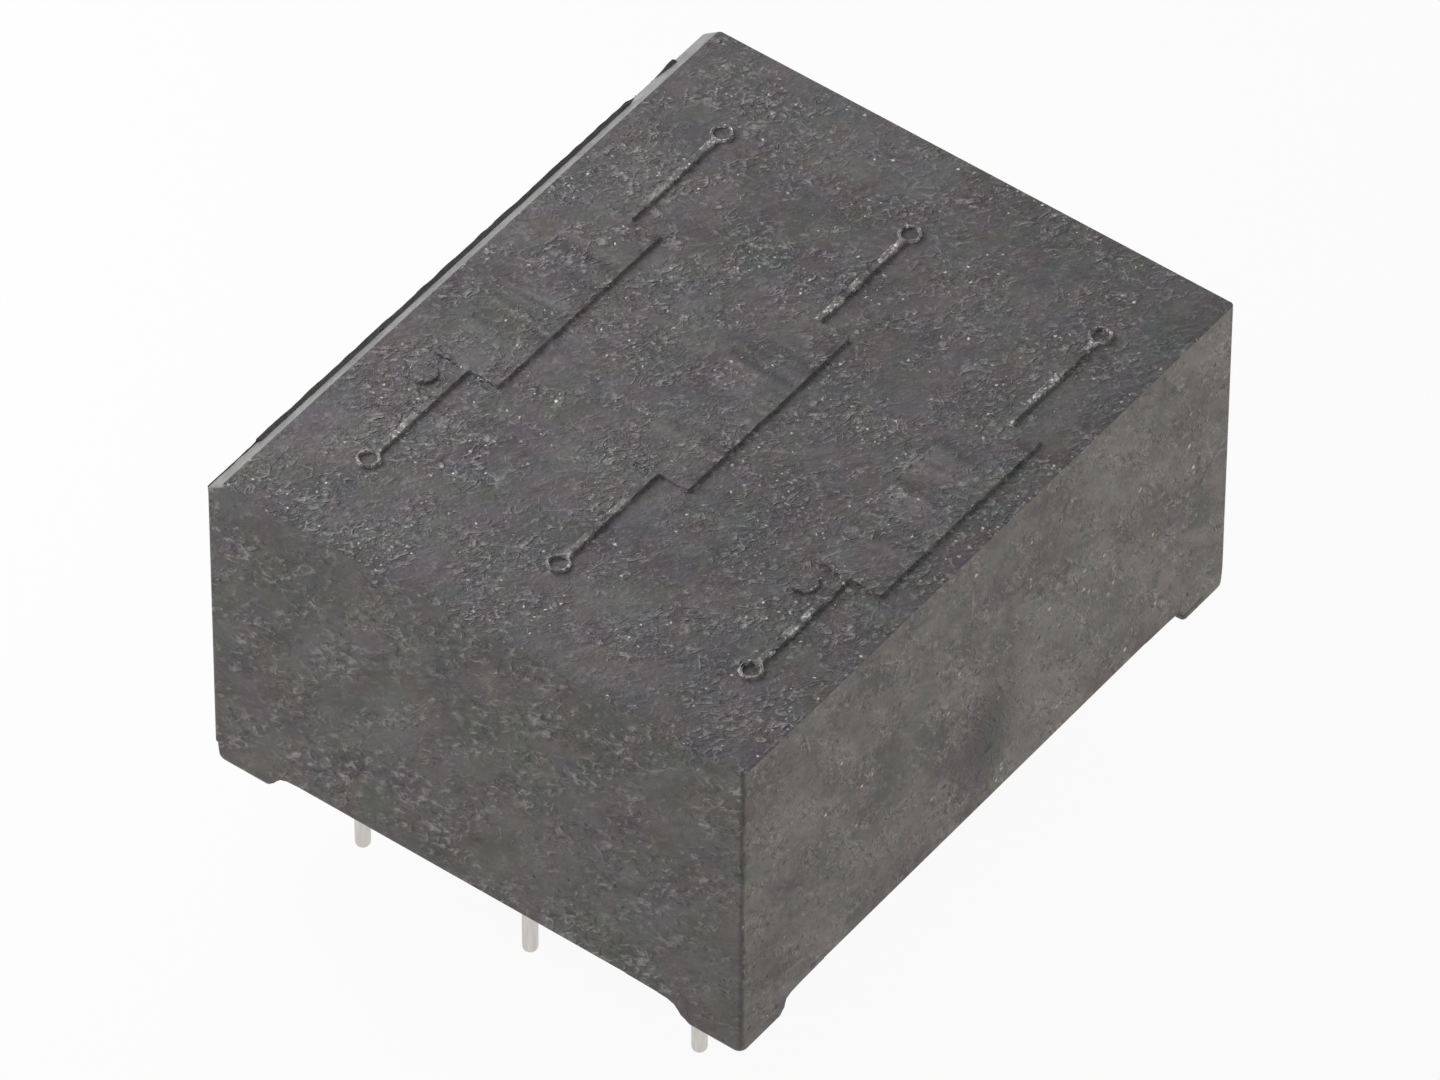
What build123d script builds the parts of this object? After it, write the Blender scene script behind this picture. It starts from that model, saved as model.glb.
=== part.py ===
from build123d import *
import math
import os

# Six-pin potted pulse transformer for a printed circuit board, in millimetres.
# The origin is the centre of the seating plane, where the four corner feet meet the board.
# +X runs along the body from the first row of pins to the second, +Y along each row, +Z up.

# Moulded case
case_length = 19.3
case_width = 15.7
wall_height = 9.0           # lower edge of the walls to the top face
foot_drop = 0.62            # the feet reach this far below the walls
wall = 0.65
back_wall_extra = 0.1       # the far long wall is this much thicker, outwards
roof = 1.0
cavity_draft = 0.5          # degrees
edge_radius = 0.12          # upright edges
top_chamfer = 0.08
back_bevel_width = 0.46     # bevel along the top of the far long side
back_bevel_height = 0.34
inner_radius = 0.6

# Corner feet, moulded on the rim and set in a little from the walls
foot_x = 1.62
foot_y = 1.62
foot_inset_x = 0.05
foot_inset_y = 0.07
foot_ramp_x = 0.12
foot_ramp_y = 0.42
foot_corner = 0.2

# Lip on the far long wall, over the lower part of its bevel, and the short one beside it
lip_spans = ((-7.7, 5.8), (7.6, 8.4))
lip_stand = 0.05            # out of the wall
lip_depth = 0.3             # into the wall
lip_height = 0.7
lip_drop = 0.19             # its top below the top face

# Raised winding diagram on the top: ring, lead line, winding bar, lead line, ring
mark_height = 0.15
mark_shift_x = -0.1
mark_shift_y = -0.41
mark_pitch = 5.62
bar_length = 6.35
bar_width = 2.0
ring_reach = 6.85           # middle of the diagram to the middle of a ring
ring_outer = 0.33
ring_inner = 0.2
line_width = 0.22
dot_radius = 0.31
dot_x = -3.74
dot_rise = 0.75
dotted_rows = (-1, 1)

# Pins, on a 2.54 grid
pin_row_spacing = 15.24
pin_pitch = 5.08
pin_radius = 0.2
pin_lengths = (2.9, 3.25, 3.4)   # below the seating plane, cut a little unevenly along each row
pin_tip_length = 0.13
pin_tip_radius = 0.09
pin_square = 0.32           # coined square from the resin's face up, for grip

# Pin carrier, a moulded plate buried in the resin
carrier_length = 17.0
carrier_width = 13.3
carrier_low = 1.6
carrier_thickness = 1.0
carrier_corner = 0.5
vent_radius = 1.1
vent_y = 3.9
rib_width = 0.8
rib_reach = 0.6
rib_x = 5.5

# Wound ring core
core_outer = 5.0
core_inner = 3.0
core_height = 4.0
core_chamfer = 0.35
pad_height = 0.75
pad_width = 0.8
pad_inner = 2.3
pad_outer = 4.9
lug_height = 2.2
winding_span = 100.0        # degrees of the ring under each winding
winding_centres = (60.0, 180.0, 300.0)
turns = 9
wire_radius = 0.16
lower_layers = 0.48         # thickness of the layers under the outer turns
crest = 0.14                # how far the outer turns stand out of them
turn_film = 0.01            # varnish over the turns
turn_corner = 0.25

# Lead-outs, soldered alongside the pins
lead_height = 3.2
lead_gap = 0.03             # solder between a pin and its lead
lead_reach = 6.35
lead_tail = 0.3             # a lead's end goes past its pin by this much
solder_radius = 0.8
solder_taper = 20.0         # degrees
solder_top = 3.75
pin_top = 3.95
channel_y = -0.9
channel_z = 2.25
channel_x = 6.2
channel_leg = 1.75
sleeve_radius = 0.32
sleeve_half = 5.3

# Potting resin
resin_recess = 0.2          # walls' lower edge up to the resin where it wets them
dish_depth = 0.09
dish_inset = 0.5

# Worked out from the above
top_z = foot_drop + wall_height
ceiling_z = top_z - roof
resin_face = foot_drop + resin_recess + dish_depth
carrier_top = carrier_low + carrier_thickness
core_middle = carrier_top + pad_height + core_height / 2
pin_places = [
    (side * pin_row_spacing / 2, place * pin_pitch)
    for side in (-1, 1)
    for place in (1, 0, -1)
]
turn_step = winding_span / turns


def polar(radius, angle, z=0.0):
    turn = math.radians(angle)
    return (radius * math.cos(turn), radius * math.sin(turn), z)


def cavity(low):
    """Inside of the case from a height up to its ceiling, narrowing upwards with the draft."""
    length, width = case_length - 2 * wall, case_width - 2 * wall
    inside = extrude(Rectangle(length, width), ceiling_z, taper=cavity_draft)
    inside &= extrude(RectangleRounded(length, width, inner_radius), ceiling_z)
    return inside - Pos(0, 0, low - case_width) * Box(case_length, case_width, 2 * case_width)


def ribs():
    """Four ribs inside the long walls, against which the pin carrier stops."""
    reach = case_width / 2 - wall / 2
    blocks = [
        Pos(x, side * (reach - (rib_reach + wall / 2) / 2), (carrier_top + top_z - roof / 2) / 2)
        * Box(rib_width, rib_reach + wall / 2, top_z - roof / 2 - carrier_top)
        for x in (-rib_x, rib_x)
        for side in (-1, 1)
    ]
    return blocks


def foot(side_x, side_y):
    """Corner foot: a low block with a ramp towards the middle of the short side."""
    outline = Polyline(
        (foot_inset_y, foot_drop),
        (foot_inset_y, 0),
        (foot_y, 0),
        (foot_y + foot_ramp_y, foot_drop),
        close=True,
    )
    block = extrude(Plane.YZ * make_face(outline), foot_x)
    block = Pos(foot_inset_x, 0, 0) * block
    end = Plane.XZ * make_face(Polyline(
        (foot_x, 0),
        (foot_x + foot_inset_x + 1, 0),
        (foot_x + foot_inset_x + 1, foot_drop),
        (foot_x + foot_ramp_x, foot_drop),
        close=True,
    ))
    block -= extrude(end, -(foot_y + foot_ramp_y + 1))
    corner = block.edges().filter_by(Axis.Z).sort_by(Axis.X)[0]
    block = fillet(corner, foot_corner)
    block = Pos(-case_length / 2, -case_width / 2, 0) * block
    if side_x > 0:
        block = mirror(block, about=Plane.YZ)
    if side_y > 0:
        block = Pos(0, back_wall_extra, 0) * mirror(block, about=Plane.XZ)
    return block


def diagram():
    """The raised marks: three windings in rows, and a polarity dot at two of them."""
    marks = []
    ring = Circle(ring_outer) - Circle(ring_inner)
    line_start = ring_reach - (ring_outer + ring_inner) / 2
    line_length = line_start - bar_length / 2
    for row in (-1, 0, 1):
        middle = Pos(0, row * mark_pitch)
        marks.append(middle * Rectangle(bar_length, bar_width))
        for side in (-1, 1):
            marks.append(middle * Pos(side * ring_reach, 0) * ring)
            line = Rectangle(line_length, line_width)
            marks.append(middle * Pos(side * (line_start + bar_length / 2) / 2, 0) * line)
        if row in dotted_rows:
            marks.append(middle * Pos(dot_x, dot_rise) * Circle(dot_radius))
    place = Pos(mark_shift_x, mark_shift_y, top_z)
    return [extrude(place * mark, mark_height) for mark in marks]


def make_case():
    outline = RectangleRounded(case_length, case_width + back_wall_extra, edge_radius)
    shell = extrude(Pos(0, back_wall_extra / 2, foot_drop) * outline, wall_height)
    shell = chamfer(shell.faces().sort_by(Axis.Z)[-1].edges(), top_chamfer)

    far_y = case_width / 2 + back_wall_extra
    bevel = Plane.YZ * make_face(Polyline(
        (far_y - back_bevel_width, top_z),
        (far_y - back_bevel_width, top_z + 1),
        (far_y + 1, top_z + 1),
        (far_y + 1, top_z - back_bevel_height),
        (far_y, top_z - back_bevel_height),
        close=True,
    ))
    shell -= extrude(bevel, case_length, both=True)

    for start, end in lip_spans:
        middle = Pos((start + end) / 2, far_y + (lip_stand - lip_depth) / 2, top_z - lip_drop - lip_height / 2)
        shell += middle * Box(end - start, lip_stand + lip_depth, lip_height)

    for side_x in (-1, 1):
        for side_y in (-1, 1):
            shell += foot(side_x, side_y)
    inside = cavity(0)
    for rib in ribs():
        inside -= rib
    shell -= inside
    for mark in diagram():
        shell += mark
    return shell


def make_pin(length):
    """One pin on the Z axis: round with a tapered tip below the resin, coined square inside it."""
    profile = make_face(Polyline(
        (0, -length),
        (pin_tip_radius, -length),
        (pin_radius, pin_tip_length - length),
        (pin_radius, resin_face),
        (0, resin_face),
        close=True,
    ))
    upper = pin_top - resin_face
    shank = Pos(0, 0, resin_face + upper / 2) * Box(pin_square, pin_square, upper)
    return revolve(Plane.XZ * profile, Axis.Z) + shank


def make_carrier(pins):
    """Plate with three cradle pads for the ring, two vents and a channel for one lead."""
    plate = Box(carrier_length, carrier_width, carrier_thickness)
    plate = fillet(plate.edges().filter_by(Axis.Z), carrier_corner)
    plate = Pos(0, 0, carrier_low + carrier_thickness / 2) * plate
    for centre in winding_centres:
        pad = Pos((pad_inner + pad_outer) / 2, 0, carrier_top + pad_height / 2)
        pad *= Box(pad_outer - pad_inner, pad_width, pad_height)
        lug_length = core_inner - pad_inner
        lug = Pos(pad_inner + lug_length / 2, 0, carrier_top + (pad_height + lug_height) / 2)
        lug *= Box(lug_length, pad_width, pad_height + lug_height)
        lug &= Cylinder(core_inner, 20)
        plate += Rot(0, 0, centre + 60) * (pad + lug)
    for side in (-1, 1):
        plate -= Pos(0, side * vent_y, carrier_low) * Cylinder(vent_radius, 4 * carrier_thickness)

    depth = carrier_top - channel_z
    channel = Pos(0, channel_y, channel_z + depth / 2) * Box(
        2 * (channel_x + sleeve_radius), 2 * sleeve_radius, depth
    )
    channel += Pos(0, channel_y, channel_z) * Rot(0, 90, 0) * Cylinder(
        sleeve_radius, 2 * (channel_x + sleeve_radius)
    )
    leg = Pos(-channel_x, channel_y - channel_leg / 2, channel_z + (depth - sleeve_radius) / 2)
    channel += leg * Box(2 * sleeve_radius, channel_leg + 2 * sleeve_radius, depth + sleeve_radius)
    plate -= channel
    for pin in pins:
        plate -= pin
    return plate


def ring_section(thickness, corner):
    """Radial section of the bare ring, or of what is wound on it to a thickness, corners cut."""
    section = Rectangle(core_outer - core_inner + 2 * thickness, core_height + 2 * thickness)
    if corner:
        section = chamfer(section.vertices(), corner)
    return Plane.XZ * Pos((core_inner + core_outer) / 2, core_middle) * section


def make_core():
    return revolve(ring_section(0, core_chamfer), Axis.Z)


def lead_to_pin(points, pin, side):
    """Lead through the points, then straight past the pin on the chosen side, at the same height."""
    x, y, z = points[-1]
    offset = pin_radius + lead_gap + wire_radius
    away = math.hypot(pin[0] - x, pin[1] - y)
    heading = math.atan2(pin[1] - y, pin[0] - x) + side * math.asin(offset / away)
    run = math.sqrt(away ** 2 - offset ** 2) + lead_tail
    end = (x + run * math.cos(heading), y + run * math.sin(heading), z)
    path = Polyline(*points, end)
    section = Plane(origin=path @ 0, z_dir=path % 0) * RegularPolygon(wire_radius, 8)
    return sweep(section, path=path, transition=Transition.RIGHT)


def make_leads():
    """The two lead-outs of each winding, from inside an end turn to a pin."""
    half = winding_span / 2 - turn_step / 2
    inside = core_outer + lower_layers
    starts = [
        [polar(inside, centre + way * half, lead_height) for way in (1, -1)]
        for centre in winding_centres
    ]
    (one_left, one_right), (two_across, two_left), (three_right, three_left) = starts
    two_left_points = [two_left, polar(lead_reach, winding_centres[1] - half, lead_height)]
    rise = lead_height - channel_z
    two_across_points = [
        two_across,
        polar(lead_reach, winding_centres[1] + half, lead_height),
        (-channel_x, channel_y - channel_leg, lead_height - 0.1),
        (-channel_x, channel_y, channel_z),
        (sleeve_half + 0.3, channel_y, channel_z),
        (sleeve_half + 0.3 + 0.8 * rise, channel_y, lead_height),
    ]
    return [
        [lead_to_pin([one_left], pin_places[0], 1), lead_to_pin([one_right], pin_places[3], 1)],
        [
            lead_to_pin(two_left_points, pin_places[1], 1),
            lead_to_pin(two_across_points, pin_places[4], -1),
        ],
        [lead_to_pin([three_left], pin_places[2], -1), lead_to_pin([three_right], pin_places[5], -1)],
    ]


def make_winding(centre, leads):
    """One winding: smooth lower layers, the turns of its outer layer, and its two lead-outs."""
    lower = ring_section(lower_layers, 0) - ring_section(0, core_chamfer)
    span = winding_span - turn_step / 2
    body = Rot(0, 0, centre - span / 2) * revolve(lower, Axis.Z, revolution_arc=span)
    outer = ring_section(lower_layers + crest, turn_corner)
    loop = extrude(outer - ring_section(lower_layers / 2, core_chamfer), wire_radius, both=True)
    for index in range(turns):
        body += Rot(0, 0, centre + (index - (turns - 1) / 2) * turn_step) * loop
    for lead in leads:
        body += lead
    return body


def make_sleeve(wire):
    tube = Pos(0, channel_y, channel_z) * Rot(0, 90, 0) * Cylinder(sleeve_radius, 2 * sleeve_half)
    return tube - wire


def make_solder(place, pin, wire):
    """Solder drawn up round a pin and the end of its lead, standing on the carrier."""
    spread = Plane.XY.offset(carrier_top) * RegularPolygon(solder_radius, 8)
    cone = extrude(spread, solder_top - carrier_top, taper=solder_taper)
    return Pos(*place) * cone - pin - wire


def winding_space(centre):
    """What a winding takes up in the resin, turns and all."""
    section = ring_section(lower_layers + crest + turn_film, turn_corner)
    return Rot(0, 0, centre - winding_span / 2) * revolve(section, Axis.Z, revolution_arc=winding_span)


def make_resin(buried, leads):
    """Potting resin: fills the case round everything in it, with a dished face below."""
    low = foot_drop + resin_recess
    block = cavity(low)
    for rib in ribs():
        block -= rib
    dish = RectangleRounded(
        case_length - 2 * (wall + dish_inset), case_width - 2 * (wall + dish_inset), inner_radius
    )
    block -= extrude(Pos(0, 0, low) * dish, dish_depth, taper=60)
    for centre in winding_centres:
        block -= winding_space(centre)
    for pair in leads:
        for lead in pair:
            block -= lead
    for piece in buried:
        block -= piece
    return block


def main():
    pins = [Pos(x, y, 0) * make_pin(pin_lengths[index % 3]) for index, (x, y) in enumerate(pin_places)]
    case = make_case()
    carrier = make_carrier(pins)
    core = make_core()
    leads = make_leads()
    windings = [make_winding(centre, pair) for centre, pair in zip(winding_centres, leads)]
    sleeve = make_sleeve(windings[1])
    solders = []
    for index, place in enumerate(pin_places):
        wire = windings[index % 3]
        solders.append(make_solder(place, pins[index], wire))
    resin = make_resin([carrier, core, sleeve, *pins, *solders], leads)

    pieces = {
        "case": case,
        "potting_resin": resin,
        "pin_carrier": carrier,
        "ring_core": core,
        "lead_sleeve": sleeve,
    }
    for index, winding in enumerate(windings):
        pieces[f"winding_{index + 1}"] = winding
    for index, (pin, solder) in enumerate(zip(pins, solders)):
        pieces[f"pin_{index + 1}"] = pin
        pieces[f"solder_joint_{index + 1}"] = solder

    os.makedirs("parts", exist_ok=True)
    for name, piece in pieces.items():
        export_step(piece, f"parts/{name}.step")
        print(name, round(piece.volume, 3), len(piece.solids()), piece.is_valid)


main()
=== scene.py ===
# Potted pulse transformer for a circuit board: moulded case, resin below, six tinned pins
import math

import bmesh
import bpy
from mathutils import Matrix, Vector, noise


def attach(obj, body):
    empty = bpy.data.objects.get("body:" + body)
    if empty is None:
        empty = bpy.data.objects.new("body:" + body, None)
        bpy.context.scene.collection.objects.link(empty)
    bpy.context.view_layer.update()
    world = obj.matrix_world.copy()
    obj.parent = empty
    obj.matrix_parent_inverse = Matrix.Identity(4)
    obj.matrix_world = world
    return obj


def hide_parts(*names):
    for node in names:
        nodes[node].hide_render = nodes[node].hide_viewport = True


mm = 0.001  # the scene is in metres

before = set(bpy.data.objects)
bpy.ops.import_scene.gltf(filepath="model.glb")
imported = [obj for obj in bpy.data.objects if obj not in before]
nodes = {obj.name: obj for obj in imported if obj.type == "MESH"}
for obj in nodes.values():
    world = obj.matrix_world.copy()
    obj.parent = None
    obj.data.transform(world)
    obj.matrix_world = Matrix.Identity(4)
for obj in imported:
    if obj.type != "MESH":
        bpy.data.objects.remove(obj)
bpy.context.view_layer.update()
print("frame loaded with", len(nodes), "nodes")


def linearColour(hexCode):
    channels = [int(hexCode[i:i + 2], 16) / 255 for i in (1, 3, 5)]
    return [c / 12.92 if c <= 0.04045 else ((c + 0.055) / 1.055) ** 2.4 for c in channels] + [1.0]


# Sockets by name, or in their order; gives one of the node's outputs, or the node itself
def addNode(tree, kind, settings, sockets, output=0):
    node = tree.nodes.new("ShaderNode" + kind)
    for key, value in settings.items():
        setattr(node, key, value)
    for key, value in sockets.items() if isinstance(sockets, dict) else enumerate(sockets):
        if isinstance(value, bpy.types.NodeSocket):
            tree.links.new(value, node.inputs[key])
        else:
            node.inputs[key].default_value = value
    return node if output is None else node.outputs[output]


def newMaterial(name, sockets):
    material = bpy.data.materials.new(name)
    material.use_nodes = True
    tree = material.node_tree
    tree.nodes.clear()
    shader = addNode(tree, "BsdfPrincipled", {}, sockets, None)
    addNode(tree, "OutputMaterial", {}, {"Surface": shader.outputs["BSDF"]}, None)
    place = addNode(tree, "TexCoord", {}, (), "Object")
    return material, tree, shader, place


def perMetre(sizeInMm):  # a texture's scale for a pattern of this size
    return 1 / (sizeInMm * mm)


# Glass-filled thermoset, compression moulded against spark-eroded steel. To the eye: dull grey-black, small
# flakes of grain in patches, each with a lit and a dark side, and glass ends that glint along worn edges. The
# flakes' light colour is a painted highlight and the hollows' dark colour painted shade; the glass ends are
# painted near white as glints, and the pits dark as their shade.
# Sizes in mm; a noise is size, detail, roughness, distortion; drawn half as coarse again as the real grain
mouldingFinishes = {
    "top": {
        "dark": "#494647", "light": "#656263", "flakeHighlight": "#aca8a9",
        "hollowShade": "#2e2c2d", "fleckGlint": "#f6f3f0", "pitShade": "#201f1f",
        "along": (-0.62, 0.785, 0.0), "stretch": 1.5, "grain": (0.13, 2.5, 0.62, 0.7),
        "relief": (0.42, 3.0, 0.60, 0.3), "mottle": (2.2, 5.0, 0.62, 0.3), "patches": (1.0, 3.0, 0.62, 0.2),
        "patchFloor": 0.25, "strokes": (0.58, 1.5, 0.55, 1.4), "breaks": (0.28, 2.0, 0.60, 0.0),
        "strokeWidth": 0.055, "flakeShare": 0.80, "hollowShare": 0.70, "mottleShare": 0.55, "depth": 0.12,
        "tint": 0.022, "fleckSpacing": 0.12, "fleckRadius": 0.032, "fleckShare": 0.11, "pitShare": 0.05,
        "edgeFlecks": 0.28, "uprightShade": 0.0, "roughness": 0.55,
    },
    "shortSide": {
        "dark": "#474442", "light": "#656260", "flakeHighlight": "#9f9b98",
        "hollowShade": "#302e2d", "fleckGlint": "#e2ded8", "pitShade": "#242222",
        "along": (0.0, 0.81, -0.586), "stretch": 1.9, "grain": (0.15, 2.5, 0.60, 0.7),
        "relief": (0.45, 3.0, 0.60, 0.3), "mottle": (1.6, 5.0, 0.64, 0.3), "patches": (1.0, 3.0, 0.62, 0.2),
        "patchFloor": 0.20, "strokes": (0.65, 1.5, 0.55, 1.2), "breaks": (0.30, 2.0, 0.60, 0.0),
        "strokeWidth": 0.055, "flakeShare": 0.90, "hollowShare": 0.85, "mottleShare": 0.60, "depth": 0.14,
        "tint": 0.022, "fleckSpacing": 0.14, "fleckRadius": 0.032, "fleckShare": 0.06, "pitShare": 0.05,
        "edgeFlecks": 0.18, "uprightShade": 0.25, "roughness": 0.60,
    },
    "longSide": {
        "dark": "#4f4b48", "light": "#7d7872", "flakeHighlight": "#9d9790",
        "hollowShade": "#393633", "fleckGlint": "#dcd7ce", "pitShade": "#282523",
        "along": (0.75, 0.0, -0.661), "stretch": 1.8, "grain": (0.16, 2.0, 0.60, 0.6),
        "relief": (0.36, 3.0, 0.62, 0.3), "mottle": (1.4, 5.0, 0.66, 0.3), "patches": (0.8, 3.0, 0.62, 0.2),
        "patchFloor": 0.20, "strokes": (0.60, 1.5, 0.55, 1.0), "breaks": (0.24, 2.0, 0.60, 0.0),
        "strokeWidth": 0.040, "flakeShare": 0.68, "hollowShare": 0.80, "mottleShare": 0.70, "depth": 0.065,
        "tint": 0.020, "fleckSpacing": 0.20, "fleckRadius": 0.044, "fleckShare": 0.06, "pitShare": 0.14,
        "edgeFlecks": 0.16, "uprightShade": 0.30, "roughness": 0.62,
    },
    # Trimmed bevel: smoother, and painted lighter than the top as a highlight where the light catches it
    "trimmedBevelHighlight": {
        "dark": "#757475", "light": "#949393", "flakeHighlight": "#aeadac",
        "hollowShade": "#5c5b5b", "fleckGlint": "#eceae8", "pitShade": "#444343",
        "along": (1.0, 0.0, 0.0), "stretch": 2.0, "grain": (0.12, 2.5, 0.60, 0.4),
        "relief": (0.30, 3.0, 0.60, 0.2), "mottle": (1.2, 4.0, 0.60, 0.2), "patches": (0.8, 3.0, 0.60, 0.2),
        "patchFloor": 0.40, "strokes": (0.40, 1.5, 0.55, 0.6), "breaks": (0.30, 2.0, 0.60, 0.0),
        "strokeWidth": 0.030, "flakeShare": 0.45, "hollowShare": 0.30, "mottleShare": 0.50, "depth": 0.025,
        "tint": 0.010, "fleckSpacing": 0.18, "fleckRadius": 0.032, "fleckShare": 0.06, "pitShare": 0.05,
        "edgeFlecks": 0.0, "uprightShade": 0.0, "roughness": 0.38,
    },
    # Diagram crests: painted bright as a highlight, with white glints, in uneven patches
    "crestHighlight": {
        "dark": "#5c5a59", "light": "#8e8c8a", "flakeHighlight": "#f4f2f0",
        "hollowShade": "#302e2e", "fleckGlint": "#ffffff", "pitShade": "#242323",
        "along": (1.0, 0.0, 0.0), "stretch": 1.0, "grain": (0.10, 2.5, 0.65, 0.6),
        "relief": (0.30, 3.0, 0.60, 0.3), "mottle": (1.4, 4.0, 0.60, 0.3), "patches": (0.6, 3.0, 0.62, 0.2),
        "patchFloor": 0.35, "strokes": (0.40, 1.5, 0.55, 1.0), "breaks": (0.22, 2.0, 0.60, 0.0),
        "strokeWidth": 0.060, "flakeShare": 0.80, "hollowShare": 0.60, "mottleShare": 0.40, "depth": 0.08,
        "tint": 0.010, "fleckSpacing": 0.10, "fleckRadius": 0.045, "fleckShare": 0.90, "pitShare": 0.16,
        "edgeFlecks": 0.0, "uprightShade": 0.0, "roughness": 0.50,
    },
    # Torn flash: its near-black colour is painted shade along the far long wall
    "tornFlashShade": {
        "dark": "#1b1a1a", "light": "#333231", "flakeHighlight": "#4e4c4b",
        "hollowShade": "#111111", "fleckGlint": "#8a8886", "pitShade": "#0c0c0c",
        "along": (1.0, 0.0, 0.0), "stretch": 1.6, "grain": (0.11, 2.5, 0.65, 0.6),
        "relief": (0.30, 3.0, 0.65, 0.4), "mottle": (1.0, 4.0, 0.60, 0.3), "patches": (0.6, 3.0, 0.60, 0.0),
        "patchFloor": 0.50, "strokes": (0.40, 1.5, 0.55, 0.6), "breaks": (0.25, 2.0, 0.60, 0.0),
        "strokeWidth": 0.040, "flakeShare": 0.50, "hollowShare": 0.50, "mottleShare": 0.40, "depth": 0.07,
        "tint": 0.008, "fleckSpacing": 0.16, "fleckRadius": 0.030, "fleckShare": 0.06, "pitShare": 0.10,
        "edgeFlecks": 0.0, "uprightShade": 0.0, "roughness": 0.80,
    },
}
# Where each noise starts to count, and from where it counts in full
noiseCuts = {
    "patches": (0.42, 0.58), "breaks": (0.48, 0.60), "flakes": (0.56, 0.70), "hollows": (0.45, 0.34),
    "tones": (0.38, 0.62), "fleckedPatches": (0.42, 0.65),
}
# Flecks and pits: size and reach in mm of the wobble of their outline, spread and least of their breadth,
# soft rim from outside to inside, and their share outside and inside the patches. Flecks are light glass ends
# painted near white as glints; pits are painted dark as their shade
dotShape = {
    "wobbleSize": 0.07, "wobble": 0.09, "spread": 0.9, "least": 0.35, "rim": (1.4, 0.7), "shares": (0.1, 2.6),
}
# How far each thing stands out of the face, beside the grain's 1
heightShares = {"stroke": 0.45, "relief": 0.6, "fleckGlint": 0.25, "pitShade": -0.4}
tintCloud = 1.1  # mm, size of the faint clouds of other hues

# The case's faces in mm, wear along its edges, and the darker band of painted shade on the top beside the near
# long wall; it is at its darkest from bandCore on, a share of its uneven edge
caseEdges = {
    "halfLength": 9.65, "middleY": 0.05, "halfWidth": 7.9, "top": 9.62,
    "wornReach": (0.55, 0.05), "uprightReach": (0.10, 0.03),
    "bandReach": 1.0, "bandEdge": 1.1, "bandCore": -0.4, "bandShade": 0.50, "bandColour": "#383637",
    "endWeight": 2.4,
}

# Place, reach each way, strength and colour of a soft smudge, a pit in it painted dark as its shade, and a
# short scratch
marksOfUse = {
    "longSide": (
        ((-0.1, -7.85, 2.9), (1.6, 0.5, 1.9), 0.90, "#3b3836"),
        ((0.0, -7.85, 2.41), (0.20, 0.3, 0.19), 1.0, "#121110"),
        ((-0.74, -7.85, 7.92), (0.07, 0.2, 0.65), 0.45, "#a8a29a"),
    ),
}
markRim = (1.0, 0.3)  # a mark fades from its reach to this share of it


def noiseFields(tree, place, finish):  # drawn out along one direction of the face, as the compound flowed
    along = addNode(tree, "VectorMath", {"operation": "DOT_PRODUCT"}, (place, finish["along"]), "Value")
    pull = [(1 / finish["stretch"] - 1) * part for part in finish["along"]]
    pulled = addNode(tree, "VectorMath", {"operation": "SCALE"}, {0: pull, "Scale": along})
    drawn = addNode(tree, "VectorMath", {"operation": "ADD"}, (place, pulled))
    fields = {}
    for key in ("grain", "relief", "mottle", "patches", "strokes", "breaks"):
        size, detail, roughness, distortion = finish[key]
        fields[key] = addNode(tree, "TexNoise", {}, {
            "Vector": drawn, "Scale": perMetre(size), "Detail": detail,
            "Roughness": roughness, "Distortion": distortion,
        }, "Fac")
    return fields


def edgeGaps(tree, apart):  # distances to the nearest edge of the case, and to the nearest upright
    e = caseEdges
    offX = addNode(tree, "Math", {"operation": "ABSOLUTE"}, (apart.outputs["X"],))
    offY = addNode(tree, "Math", {"operation": "SUBTRACT"}, (apart.outputs["Y"], e["middleY"] * mm))
    offY = addNode(tree, "Math", {"operation": "ABSOLUTE"}, (offY,))
    gapX = addNode(tree, "Math", {"operation": "SUBTRACT"}, (e["halfLength"] * mm, offX))
    gapY = addNode(tree, "Math", {"operation": "SUBTRACT"}, (e["halfWidth"] * mm, offY))
    gapZ = addNode(tree, "Math", {"operation": "SUBTRACT"}, (e["top"] * mm, apart.outputs["Z"]))
    wallGap = addNode(tree, "Math", {"operation": "MINIMUM"}, (gapX, gapY))
    uprightGap = addNode(tree, "Math", {"operation": "MAXIMUM"}, (gapX, gapY))
    rimGap = addNode(tree, "Math", {"operation": "MINIMUM"}, (uprightGap, gapZ))
    edgeGap = addNode(tree, "Math", {"operation": "MAXIMUM"}, (wallGap, rimGap))
    return edgeGap, uprightGap


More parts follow.
